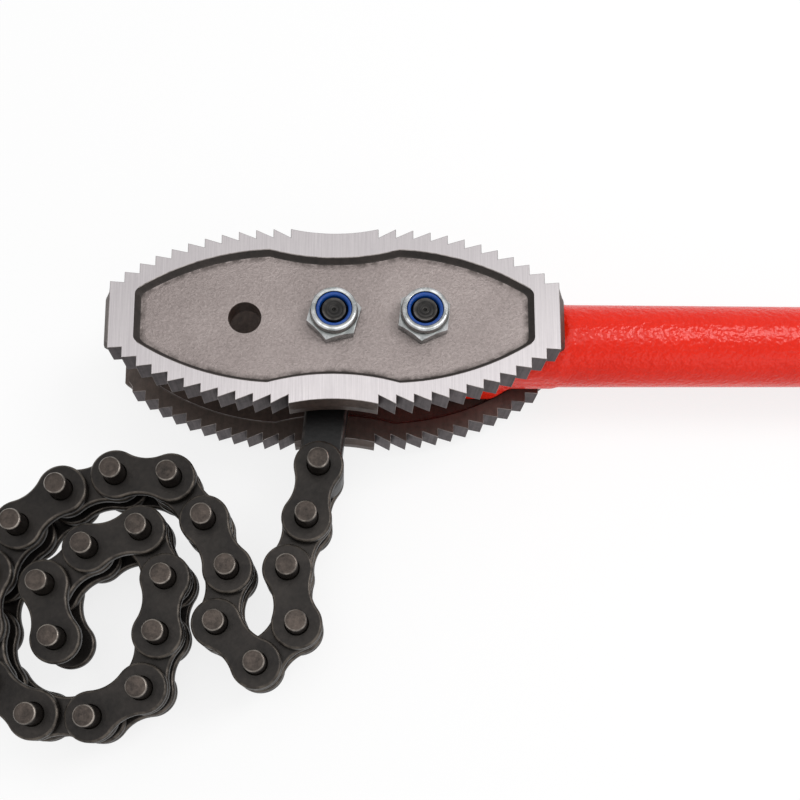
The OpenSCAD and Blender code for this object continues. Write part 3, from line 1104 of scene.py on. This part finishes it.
        # The rings' wear marks lay painted shade on the panel along the foot of its wall.
        for margin, height, wear, zone in PANEL_RINGS:
            panel.append(shell.level(self._panel(foot + margin), floor + height, wear))
            shell.bridge(panel[-2], panel[-1], zone)
        holes = [
            shell.hole((i * self.hole_spacing, 0.0), self.hole_radius, self.hole_bevel, floor,
                       self.pocket_depth, self.hole_steps, Zone.SKIN)
            for i in (-1, 0, 1)
        ]
        mouth = shell.level(self._panel(self.rim_width + self.mouth_margin), 0.0)
        lip = shell.level(self._panel(self.rim_width + self.lip_margin), self.lip_depth)
        bed = shell.level(self._panel(self.rim_width + self.bed_margin), self.pocket_depth)
        shell.bridge(mouth, lip, Zone.INNER)
        shell.bridge(lip, bed, Zone.SKIN)
        faces = (
            (layers[0], mouth, self.rim_width + self.mouth_margin, Zone.INNER),
            (layers[-1], panel[0], self.rim_width, Zone.RIM),
        )
        for edge, hollow, margin, zone in faces:
            z = edge[0].co.z
            outer = shell.level(inset([(v.co.x, v.co.y) for v in edge], self.border), z)
            inner = shell.level(self._panel(margin - self.border), z)
            shell.bridge(edge, outer, zone)
            shell.bridge(inner, hollow, zone)
            shell.cover([outer, inner], zone)
        shell.cover([panel[-1], *(outer for outer, _ in holes)], Zone.PANEL)
        shell.cover([bed, *(inner for _, inner in holes)], Zone.SKIN)
        return shell

    def build(self, shop: Workshop) -> None:
        """Builds, dresses and hands over both jaws.

        Args:
            shop: The workshop.
        """
        lift = Matrix.Translation((self.centre_x, 0.0, self.gap / 2))
        drop = Matrix.Translation((self.centre_x, 0.0, -self.gap / 2)) @ Matrix.Rotation(math.pi, 4, "X")
        for node, place in (("upper_jaw", lift), ("lower_jaw", drop)):
            jaw = self._shell().piece(f"{node}_forging", place)
            shop.dress(jaw, [JAW_COATS[zone] for zone in Zone])
            soften(jaw, self.edge_width, Zone.EDGE, self.edge_angle)
            shop.hand_over(jaw, "wrench_body", [node], "jaw_steel")


@dataclass
class Handle:
    """The forged handle: a forked tang that runs into a round tapered bar."""

    centre_x: float = 40.5
    reach: float = 810.0
    neck_radius: float = 18.5
    grip_radius: float = 16.0
    grip_length: float = 120.0
    grip_stations: Sequence[float] = (40.0, 80.0)
    end_round: float = 6.0
    tang_half_width: float = 20.5
    tang_half_height: float = 16.0
    tang_round: float = 4.0
    tang_reach: float = 76.0
    tang_stations: Sequence[float] = (40.0, 60.0)
    tang_lead: float = 4.0
    taper_length: float = 11.0
    taper_steps: int = 10
    cut_round: float = 13.0
    fork_depth: float = 22.0
    fork_half_gap: float = 8.3
    fork_bevel: float = 0.6
    fork_overlap: float = 3.0
    shoulder: float = 103.6
    ramp: float = 6.0
    bar_steps: int = 24
    round_gap: float = 0.02
    pad_reach: float = 62.0
    pad_rise: float = 1.5
    pad_sink: float = 0.8
    pad_bevel: float = 0.35
    pad_play: float = 0.02
    corner_steps: int = 16
    cheek_steps: int = 6
    ramp_steps: int = 8
    tongue_steps: int = 40
    sharp: float = 45.0

    def _section(self, half_width: float, half_height: float, rounding: float) -> list[Flat]:
        """A rounded rectangle across the handle.

        Args:
            half_width: Half its width.
            half_height: Half its height.
            rounding: Radius of its corners.

        Returns:
            The points, counter-clockwise.
        """
        points = []
        for start, sx, sy in ((0, 1, 1), (90, -1, 1), (180, -1, -1), (270, 1, -1)):
            centre = (sx * (half_width - rounding), sy * (half_height - rounding))
            points += arc(centre, rounding, start, start + 90, self.corner_steps)
        return points

    def _round(self, u: float, radius: float) -> Station:
        """A round section, its corners just short of meeting.

        Args:
            u: Distance along the handle.
            radius: Radius of the section.

        Returns:
            Distance, half width, half height and corner radius.
        """
        return u, radius, radius, radius - self.round_gap

    def _stations(self) -> list[Station]:
        """Sections along the handle, from the fork's floor to the end.

        Returns:
            Distance, half width, half height and corner radius of each.
        """
        high = self.tang_half_height
        tang = (self.fork_depth, *self.tang_stations, self.tang_reach - self.tang_lead)
        stations = [(u, self.tang_half_width, high, self.tang_round) for u in tang]
        for share in shares(self.taper_steps):
            width = between(self.tang_half_width, self.neck_radius, ease(share))
            rounding = between(self.tang_round, self.cut_round, ease(share))
            stations.append((self.tang_reach + self.taper_length * share, width, high, rounding))
        stations.append((self.shoulder, self.neck_radius, high, self.cut_round))
        for share in shares(self.ramp_steps, 1):
            high = between(self.tang_half_height, self.neck_radius, ease(share))
            rounding = between(self.cut_round, high - self.round_gap, ease(share))
            stations.append((self.shoulder + self.ramp * share, self.neck_radius, high, rounding))
        start = self.shoulder + self.ramp
        end = self.reach - self.grip_length
        for share in shares(self.bar_steps, 1):
            radius = between(self.neck_radius, self.grip_radius, share)
            stations.append(self._round(between(start, end, share), radius))
        stations += [self._round(end + step, self.grip_radius) for step in self.grip_stations]
        for share in shares(self.ramp_steps):
            turn = math.pi / 2 * share
            radius = self.grip_radius - self.end_round * (1 - math.cos(turn))
            stations.append(self._round(self.reach - self.end_round * (1 - math.sin(turn)), radius))
        return stations

    def _bar(self, shell: Shell) -> None:
        """Adds the tang behind the fork, the neck and the bar with its rounded end.

        Args:
            shell: The shell to add to.
        """
        loops = [
            shell.ring([(u, y, z) for y, z in self._section(*section)]) for u, *section in self._stations()
        ]
        shell.chain(loops)
        for loop, u in ((loops[-1], self.reach), (loops[0], self.fork_depth)):
            shell.bridge(loop, shell.ring([(u, 0.0, 0.0)]))

    def _tongue(self, shell: Shell, levels: Sequence[Solid]) -> None:
        """Adds a slab with one round end.

        Args:
            shell: The shell to add to.
            levels: Height, radius of the round end and reach of the straight end, loop by loop.
        """
        loops = []
        for z, radius, reach in levels:
            outline = [(reach, -radius), (reach, radius)]
            loops.append(shell.level(outline + arc((0.0, 0.0), radius, 90, 270, self.tongue_steps), z))
        shell.chain(loops)
        shell.cover([loops[0]])
        shell.cover([loops[-1]])

    def _cheek(self, shell: Shell, way: int) -> None:
        """Adds one cheek of the fork, and the raised pad on it that seats in a jaw's pocket.

        Args:
            shell: The shell to add to.
            way: 1 for the upper cheek, -1 for the lower one.
        """
        heights = [(self.fork_half_gap, self.fork_bevel), (self.fork_half_gap + self.fork_bevel, 0.0)]
        for share in shares(self.cheek_steps):
            turn = math.pi / 2 * share
            rise = self.tang_half_height - self.tang_round * (1 - math.sin(turn))
            heights.append((rise, self.tang_round * (1 - math.cos(turn))))
        reach = self.fork_depth + self.fork_overlap
        self._tongue(shell, [(z * way, self.tang_half_width - depth, reach) for z, depth in heights])
        top = self.tang_half_height + self.pad_rise
        radius = self.tang_half_width - self.tang_round
        heights = (
            (self.tang_half_height - self.pad_sink, 0.0),
            (top - self.pad_bevel, 0.0),
            (top - self.pad_play, self.pad_bevel),
        )
        self._tongue(shell, [(z * way, radius - depth, self.pad_reach - depth) for z, depth in heights])

    def build(self, shop: Workshop) -> None:
        """Builds, dresses and hands over the handle.

        Args:
            shop: The workshop.
        """
        shell = Shell()
        self._bar(shell)
        for way in (1, -1):
            self._cheek(shell, way)
        bar = shell.piece("handle_forging", Matrix.Translation((self.centre_x, 0.0, 0.0)))
        shop.dress(bar, [Coat.RED_PAINT])
        shade(bar, self.sharp)
        shop.hand_over(bar, "wrench_body", ["handle"], "red_paint")


# Collar of a nut, from its shoulder to its lip: offsets from its radius and the nut's top, and the strength
# of the painted highlight, laid as wear.
NUT_COLLAR = (
    (0.0, -1.3, 0.2), (-0.12, -0.75, 0.8), (-0.45, -0.28, 1.0), (-0.95, -0.04, 1.0),
    (-1.4, 0.0, 0.8),
)
# Mouth of a nut round its nylon ring: offsets from the ring's radius and the nut's top, and the strength of
# the painted highlight, laid as wear.
NUT_MOUTH = ((0.25, -0.2, 0.4), (0.03, -0.6, 0.0))
# Outer rim and rolled inner lip of a nylon ring: offsets from its radii and its top.
RING_RIM = ((0.0, -0.4), (-0.15, -0.12), (-0.45, 0.0))
RING_LIP = ((0.75, -0.05), (0.3, -0.3), (0.0, -0.8))
# Turning marks on a bolt's point: offsets from the point's radius and its end, and wear.
BOLT_POINT = (
    (0.25, -0.4, 0.3), (0.0, -0.05, 1.0), (-0.3, 0.0, 0.6), (-1.2, -0.02, 0.1), (-1.5, -0.14, 0.0),
    (-1.8, -0.02, 0.2), (-3.0, -0.06, 0.0), (-3.3, -0.2, 0.15), (-3.7, -0.1, 0.1),
)
# Dimple in a bolt's point: offsets from the axis and the end, and wear.
BOLT_DIMPLE = ((0.9, -0.25, 0.2), (0.4, -0.9, 0.0), (0.0, -1.0, 0.0))


@dataclass
class Fasteners:
    """The two bolts with their lock nuts and nylon rings."""

    first_x: float = 40.5
    spacing: float = 40.5
    seat_z: float = 24.5
    flats: float = 22.0
    hex_bevel: float = 0.35
    hex_slope: float = 32.0
    bolt_radius: float = 7.0
    bolt_neck: float = 0.3
    thread_play: float = 0.05
    tip_radius: float = 5.2
    tip_draft: float = 0.35
    tip_sink: float = 0.8
    tip_bevel: float = 2.0
    tip_taper: float = 1.0
    head_height: float = 8.8
    dish_margin: float = 2.2
    dish_depth: float = 0.15
    nut_height: float = 8.3
    hex_height: float = 4.6
    collar_radius: float = 10.5
    collar_foot: Flat = (0.35, 0.4)
    ring_radius: float = 8.0
    ring_thickness: float = 2.4
    ring_sink: float = 0.4
    ring_play: float = 0.03
    ring_grip: float = 0.6
    ring_bevel: float = 0.2
    first_turn: float = 14.0
    second_turn: float = 24.0
    steps: int = 72
    sharp: float = 38.0

    def _hexagon(self, margin: float = 0.0) -> list[Flat]:
        """Outline of the hexagon.

        Args:
            margin: How far it is drawn in.

        Returns:
            The points, a corner at angle 0.
        """
        points = []
        for i in range(self.steps):
            a = 2 * math.pi * i / self.steps
            off = (a % (math.pi / 3)) - math.pi / 6
            radius = (self.flats / 2 - margin) / math.cos(off)
            points.append((radius * math.cos(a), radius * math.sin(a)))
        return points

    def _hex_rings(self, shell: Shell, base: float, top: float) -> list[Loop]:
        """Adds a hexagon whose corners are bevelled at the top.

        Args:
            shell: The shell to add to.
            base: Height of its flat side.
            top: Height of its bevelled side.

        Returns:
            Its loops, from the flat side to the bevelled face, not yet joined.
        """
        # On a nut these marks lay a painted highlight; on a bolt's head they mark wear.
        side_wear_and_sheen, corner_wear_and_sheen, face_wear_and_sheen = 0.3, 0.9, 0.4
        way = 1 if top > base else -1
        face_radius = self.flats / 2 - self.hex_bevel
        outline = self._hexagon()
        shoulder = []
        for x, y in outline:
            fall = max(0.0, math.hypot(x, y) - face_radius) * math.tan(math.radians(self.hex_slope))
            shoulder.append((x, y, top - fall * way))
        return [
            shell.level(self._hexagon(self.hex_bevel), base),
            shell.level(outline, base + self.hex_bevel * way, side_wear_and_sheen),
            shell.ring(shoulder, corner_wear_and_sheen),
            shell.level(circle(face_radius, self.steps), top, face_wear_and_sheen),
        ]

    def _nut(self) -> Shell:
        """Builds a lock nut that stands on z = 0.

        Returns:
            The nut's shell.
        """
        shell = Shell()
        wide = self.collar_radius
        bore = self.bolt_radius + self.thread_play
        seat = self.nut_height - self.ring_sink - self.ring_thickness
        out, up = self.collar_foot
        profile = [
            (wide + out, self.hex_height),
            (wide, self.hex_height + up),
            *offset(NUT_COLLAR, wide, self.nut_height),
            *offset(NUT_MOUTH, self.ring_radius, self.nut_height),
            (self.ring_radius + self.ring_play, seat),
            (bore, seat),
            (bore, 0.0),
        ]
        loops = self._hex_rings(shell, 0.0, self.hex_height) + shell.turn(profile, self.steps)
        shell.chain([*loops, loops[0]])
        return shell

    def _ring(self) -> Shell:
        """Builds a nylon ring with a rolled inner lip, its lower face on z = 0.

        Returns:
            The ring's shell.
        """
        shell = Shell()
        inner = self.bolt_radius - self.ring_grip
        profile = [
            (inner, self.ring_bevel),
            (inner + self.ring_bevel, 0.0),
            (self.ring_radius, 0.0),
            *offset(RING_RIM, self.ring_radius, self.ring_thickness),
            *offset(RING_LIP, inner, self.ring_thickness),
        ]
        shell.lathe(profile, self.steps)
        return shell

    def _bolt(self) -> Shell:
        """Builds a bolt about Z, with its head below the lower jaw and turning marks on its point.

        Returns:
            The bolt's shell.
        """
        shell = Shell()
        seat = -self.seat_z
        face = seat - self.head_height
        dish = face + self.dish_depth
        end = self.seat_z + self.nut_height - self.tip_sink
        wide = self.bolt_radius
        head = self._hex_rings(shell, seat, face)
        head += shell.turn([(self.flats / 2 - self.dish_margin, dish), (0.0, dish)], self.steps)
        profile = [
            (wide + self.bolt_neck, seat),
            (wide, seat + self.bolt_neck),
            (wide, end - self.tip_bevel - self.tip_taper),
            (self.tip_radius + self.tip_draft, end - self.tip_bevel),
            *offset(BOLT_POINT, self.tip_radius, end),
            *offset(BOLT_DIMPLE, 0.0, end),
        ]
        shell.chain([*reversed(head), *shell.turn(profile, self.steps)])
        return shell

    def build(self, shop: Workshop) -> None:
        """Builds, dresses and hands over bolts, nuts and rings.

        Args:
            shop: The workshop.
        """
        step = (self.spacing, 0.0, 0.0)
        first = (0.0, 0.0, self.first_turn)
        turn = (0.0, 0.0, self.second_turn - self.first_turn)
        ring_z = self.seat_z + self.nut_height - self.ring_sink - self.ring_thickness
        plan = (
            ("lock_nuts", self._nut(), Coat.ZINC, self.seat_z, first, turn, "nut", "zinc_nut"),
            ("nylon_rings", self._ring(), Coat.NYLON, ring_z, first, turn, "nylon_ring", "blue_nylon"),
            ("jaw_bolts", self._bolt(), Coat.BLACK_BOLT, 0.0, ORIGIN, ORIGIN, "bolt", "black_bolt"),
        )
        for name, shell, coat, level, first_turn, turn_step, node, slot in plan:
            made = shell.piece(name)
            shade(made, self.sharp)
            shop.repeat(made, coat, 2, step, first_turn, turn_step, place=(self.first_x, 0.0, level))
            shop.hand_over(made, "wrench_body", [f"centre_{node}", f"second_{node}"], slot)


# Worn rim and faced end of a chain pin: offsets from its radius and its end, wear and cap.
PIN_END = (
    (0.0, -0.9, 0.0, 0.0), (-0.06, -0.62, 0.5, 0.0), (-0.3, -0.26, 1.0, 0.2), (-0.55, -0.06, 0.8, 0.8),
    (-0.75, 0.0, 0.0, 1.0), (-2.6, -0.05, 0.0, 1.0), (-2.9, -0.09, 0.0, 0.9), (-3.3, -0.06, 0.0, 1.0),
)


def bearing(start: Vector, end: Vector) -> float:
    """Direction from one place to another about Z.

    Args:
        start: First place.
        end: Second place.

    Returns:
        The angle in degrees.
    """
    return math.degrees(math.atan2(end.y - start.y, end.x - start.x))


@dataclass
class Chain:
    """The anchor link on the centre bolt and the pinned chain that hangs from it."""

    joints: Sequence[dict]
    pitch: float = 25.4
    plate_height: float = 23.2
    plate_waist: float = 17.4
    plate_thickness: float = 4.0
    inner_face_z: float = 4.0
    inner_play: float = 0.03
    inner_bevel: float = 0.3
    outer_plate_z: float = 8.3
    outer_play: float = 0.06
    outer_bevel: float = 0.55
    edge_round: float = 1.3
    pin_radius: float = 5.0
    pin_half_length: float = 21.0
    pin_dish: float = 0.12
    bush_radius: float = 7.2
    bush_bore: float = 5.09
    bush_bevel: float = 0.3
    anchor_width: float = 19.7
    anchor_eye_radius: float = 14.5
    anchor_half: float = 8.0
    anchor_bore: float = 7.09
    anchor_round: float = 1.6
    anchor_bevel: float = 0.5
    eye_steps: int = 41
    end_steps: int = 33
    waist_steps: int = 13
    turn_steps: int = 40
    sharp: float = 50.0

    def __post_init__(self) -> None:
        """Reads the pins' places from the joints, and the free end's from its node."""
        spots = {joint["name"]: Vector(joint["pos_m"]) / MM for joint in self.joints}
        self.links = len(spots) - 1
        self.bolt = spots["anchor_swing"]
        self.pins = [spots[f"link_{i}_hinge"] for i in range(1, self.links + 1)]
        lowest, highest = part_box(f"pins_{(self.links + 1) // 2}")
        middle = (lowest + highest) / 2 / MM
        self.pins.append(2 * middle - self.pins[-1])

    def _outline(self) -> list[Flat]:
        """Outline of a link plate: two round ends joined by hollow flanks.

        Returns:
            The points, counter-clockwise.
        """
        end = self.plate_height / 2
        waist = self.plate_waist / 2
        half = self.pitch / 2
        hollow = (half**2 + waist**2 - end**2) / (2 * (end - waist))
        lean = math.degrees(math.atan2(waist + hollow, half))
        points = arc((0.0, 0.0), end, lean, 360 - lean, self.end_steps)
        points += arc((half, -waist - hollow), hollow, 180 - lean, lean, self.waist_steps)[1:-1]
        points += arc((self.pitch, 0.0), end, lean - 180, 180 - lean, self.end_steps)
        points += arc((half, waist + hollow), hollow, -lean, lean - 180, self.waist_steps)[1:-1]
        return points

    def _plate(self, lift: float, hole_radius: float, hole_bevel: float) -> Shell:
        """Builds a link plate with its first hole at the origin.

        Args:
            lift: Height of its lower face.
            hole_radius: Radius of its holes.
            hole_bevel: Bevel of the holes' edges.

        Returns:
            The plate's shell.
        """
        shell = Shell()
        holes = [((0.0, 0.0), hole_radius), ((self.pitch, 0.0), hole_radius)]
        shell.plate(self._outline(), holes, lift, lift + self.plate_thickness, self.edge_round, hole_bevel)
        return shell

    def _pin(self) -> Shell:
        """Builds a pin about Z with worn rims and faced ends.

        Returns:
            The pin's shell.
        """
        shell = Shell()
        high = self.pin_half_length
        top = [*offset(PIN_END, self.pin_radius, high), (0.0, high - self.pin_dish, 0.0, 1.0)]
        shell.lathe([(radius, -z, *marks) for radius, z, *marks in reversed(top)] + top, self.turn_steps)
        return shell

    def _bush(self) -> Shell:
        """Builds a bush about Z.

        Returns:
            The bush's shell.
        """
        shell = Shell()
        bevel = self.bush_bevel
        wide = self.bush_radius
        bore = self.bush_bore
        high = self.anchor_half
        top = [(wide, high - bevel), (wide - bevel, high), (bore + bevel, high), (bore, high - bevel)]
        shell.lathe([(radius, -z) for radius, z in reversed(top)] + top, self.turn_steps)
        return shell

    def _anchor(self, shop: Workshop) -> None:
        """Builds, dresses and hands over the anchor link.

        Args:
            shop: The workshop.
        """
        length = (self.pins[0] - self.bolt).length
        half = self.anchor_width / 2
        end = self.plate_height / 2
        eye = math.degrees(math.asin(half / self.anchor_eye_radius))
        tail = math.degrees(math.asin(half / end))
        outline = arc((0.0, 0.0), self.anchor_eye_radius, eye, 360 - eye, self.eye_steps)
        outline += arc((length, 0.0), end, tail - 180, 180 - tail, self.end_steps)
        holes = [((0.0, 0.0), self.anchor_bore), ((length, 0.0), self.bush_bore)]
        shell = Shell()
        shell.plate(outline, holes, -self.anchor_half, self.anchor_half, self.anchor_round, self.anchor_bevel)
        turn = Matrix.Rotation(math.radians(bearing(self.bolt, self.pins[0])), 4, "Z")
        made = shell.piece("anchor_bar", Matrix.Translation(self.bolt) @ turn)
        shop.dress(made, [Coat.ANCHOR])
        shop.hand_over(made, "anchor", ["anchor_link"], "anchor_steel")

    def _link(self, shop: Workshop, i: int) -> None:
        """Builds, dresses and hands over the plates and pins, or plates and bushes, of a link.

        Args:
            shop: The workshop.
            i: Number of the link, from 1 at the anchor. Odd links are outer links.
        """
        start, end = self.pins[i - 1], self.pins[i]
        lay = {"place": (start.x, start.y, 0.0), "heading": bearing(start, end)}
        k = (i + 1) // 2
        if i % 2:
            kind, part = "outer", "pins"
            plate = self._plate(self.outer_plate_z, self.pin_radius + self.outer_play, self.outer_bevel)
            shell = self._pin()
        else:
            kind, part = "inner", "bushes"
            plate = self._plate(self.inner_face_z, self.bush_radius + self.inner_play, self.inner_bevel)
            shell = self._bush()
        plates = plate.piece(f"{kind}_link_plates_{k}")
        turned = shell.piece(f"link_{part}_{k}")
        shade(turned, self.sharp)
        shop.repeat(plates, Coat.CHAIN_PLATE, 2, turn_step=(180.0, 0.0, 0.0), **lay)
        step = (self.pitch, 0.0, 0.0)
        shop.repeat(turned, Coat.CHAIN_PIN, 2, step, loose_turn=(0.0, 0.0, 180.0), seed=i, **lay)
        shop.hand_over(plates, f"link_{i}", [f"{kind}_plates_{k}"], "chain_plate_steel")
        shop.hand_over(turned, f"link_{i}", [f"{part}_{k}"], "chain_pin_steel")

    def build(self, shop: Workshop) -> None:
        """Builds the anchor and every link.

        Args:
            shop: The workshop.
        """
        self._anchor(shop)
        for i in range(1, self.links + 1):
            self._link(shop, i)


# Name, place in metres, width in metres and power in watts of each lamp.
LAMPS = (
    ("key_lamp", (0.0, -0.05, 1.6), 1.4, 8.7),
    ("side_lamp", (0.73, 0.2, 0.95), 0.42, 4.6),
    ("front_lamp", (0.75, -0.85, 0.45), 0.6, 1.1),
)


@dataclass
class Studio:
    """The camera of the photograph, a white floor that keeps a soft shadow, and plain soft lamps.

    The glow and the floor's half width are in metres.
    """

    floor_z: float = -33.35
    floor_half: float = 8.0
    floor_tone: Colour = (0.96, 0.96, 0.96, 1.0)
    floor_roughness: float = 0.9
    floor_specular: float = 0.1
    glow_share: float = 0.8
    glow_near: float = 0.6
    glow_far: float = 2.4
    ambient: float = 0.5
    lamp_target: Solid = (0.05, 0.0, 0.0)
    sensor: float = 36.0
    lens: float = 35.676
    shift_x: float = 0.075
    shift_y: float = 0.31875
    clip_start: float = 0.01
    camera_place: Solid = (45.94, -197.52, 360.55)
    right: Solid = (0.999969, 0.006575, -0.004389)
    up: Solid = (-0.005953, 0.991598, 0.129219)
    back: Solid = (0.005202, -0.129188, 0.991606)

    def camera(self) -> None:
        """Places the camera at the photograph's viewpoint."""
        data = bpy.data.cameras.new("photo_camera")
        data.sensor_width = self.sensor
        data.lens = self.lens
        data.shift_x = self.shift_x
        data.shift_y = self.shift_y
        data.clip_start = self.clip_start
        made = link("photo_camera", data)
        turn = Matrix((self.right, self.up, self.back)).transposed().to_4x4()
        made.matrix_world = Matrix.Translation(Vector(self.camera_place) * MM) @ turn
        bpy.context.scene.camera = made

    @staticmethod
    def _seen(tree: Tree) -> Socket:
        """Mask of what is seen straight, in a mirror or through something clear.

        Args:
            tree: The tree that gets the mask.

        Returns:
            The mask's socket.
        """
        path = wire(tree, "ShaderNodeLightPath", {})
        rays = {0: path["Is Camera Ray"], 1: path["Is Glossy Ray"]}
        seen = wire(tree, MATH, rays, operation="MAXIMUM")["Value"]
        return wire(tree, MATH, {0: seen, 1: path["Is Transmission Ray"]}, operation="MAXIMUM")["Value"]

    @staticmethod
    def _surface(tree: Tree, target: str, inputs: Inputs) -> None:
        """Shows a mix of two shaders.

        Args:
            tree: The tree that gets the mix.
            target: Name of the tree's output node.
            inputs: Share of the second shader, then both shaders, by the mix's inputs.
        """
        mixed = wire(tree, "ShaderNodeMixShader", inputs)["Shader"]
        feed(tree, tree.nodes[target], {"Surface": mixed})

    def floor(self) -> None:
        """Lays a pale floor that shows the shadow on white and fades to pure white far off."""
        material = bpy.data.materials.new("white_floor")
        material.use_nodes = True
        tree = material.node_tree
        shader = tree.nodes["Principled BSDF"]
        feed(tree, shader, {
            "Base Color": self.floor_tone,
            "Roughness": self.floor_roughness,
            "Specular IOR Level": self.floor_specular,
        })
        glow = wire(tree, "ShaderNodeEmission", {"Color": WHITE, "Strength": 1.0})["Emission"]
        place = wire(tree, "ShaderNodeTexCoord", {})["Object"]
        reach = wire(tree, VECTOR, {0: place}, operation="LENGTH")["Value"]
        limits = {"From Min": self.glow_near, "From Max": self.glow_far, "To Min": self.glow_share}
        fade = wire(tree, SPREAD, {"Value": reach, **limits})["Result"]
        share = wire(tree, MATH, {0: self._seen(tree), 1: fade}, operation="MULTIPLY")["Value"]
        self._surface(tree, "Material Output", {"Fac": share, 1: shader.outputs["BSDF"], 2: glow})
        data = bpy.data.meshes.new("studio_floor")
        half = self.floor_half
        corners = ((-half, -half), (half, -half), (half, half), (-half, half))
        data.from_pydata([(x, y, self.floor_z * MM) for x, y in corners], [], [(0, 1, 2, 3)])
        data.materials.append(material)
        link("studio_floor", data)

    def world(self) -> None:
        """Makes the surroundings white to the eye and to metal, and dimmer as a light."""
        world = bpy.data.worlds.new("studio_world")
        bpy.context.scene.world = world
        world.use_nodes = True
        tree = world.node_tree
        ambient = tree.nodes["Background"]
        feed(tree, ambient, {"Color": WHITE, "Strength": self.ambient})
        white = wire(tree, "ShaderNodeBackground", {"Color": WHITE, "Strength": 1.0})["Background"]
        mix = {"Fac": self._seen(tree), 1: ambient.outputs["Background"], 2: white}
        self._surface(tree, "World Output", mix)

    def lamps(self) -> None:
        """Hangs a broad key lamp over the wrench, with weaker ones at its right and in front."""
        for name, place, width, power in LAMPS:
            data = bpy.data.lights.new(name, "AREA")
            data.shape = "SQUARE"
            data.size = width
            data.energy = power
            made = link(name, data)
            made.location = place
            aim = Vector(self.lamp_target) - Vector(place)
            made.rotation_euler = aim.to_track_quat("-Z", "Y").to_euler()

    def build(self) -> None:
        """Sets the stage."""
        bpy.context.scene.view_settings.view_transform = "Standard"
        self.camera()
        self.floor()
        self.world()
        self.lamps()


def main() -> None:
    """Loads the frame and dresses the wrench."""
    logging.basicConfig(level=logging.INFO, format="%(message)s")
    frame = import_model()
    Studio().build()
    shop = Workshop()
    Handle().build(shop)
    JawPair().build(shop)
    Fasteners().build(shop)
    Chain(frame["joints"]).build(shop)


if __name__ == "__main__":
    main()
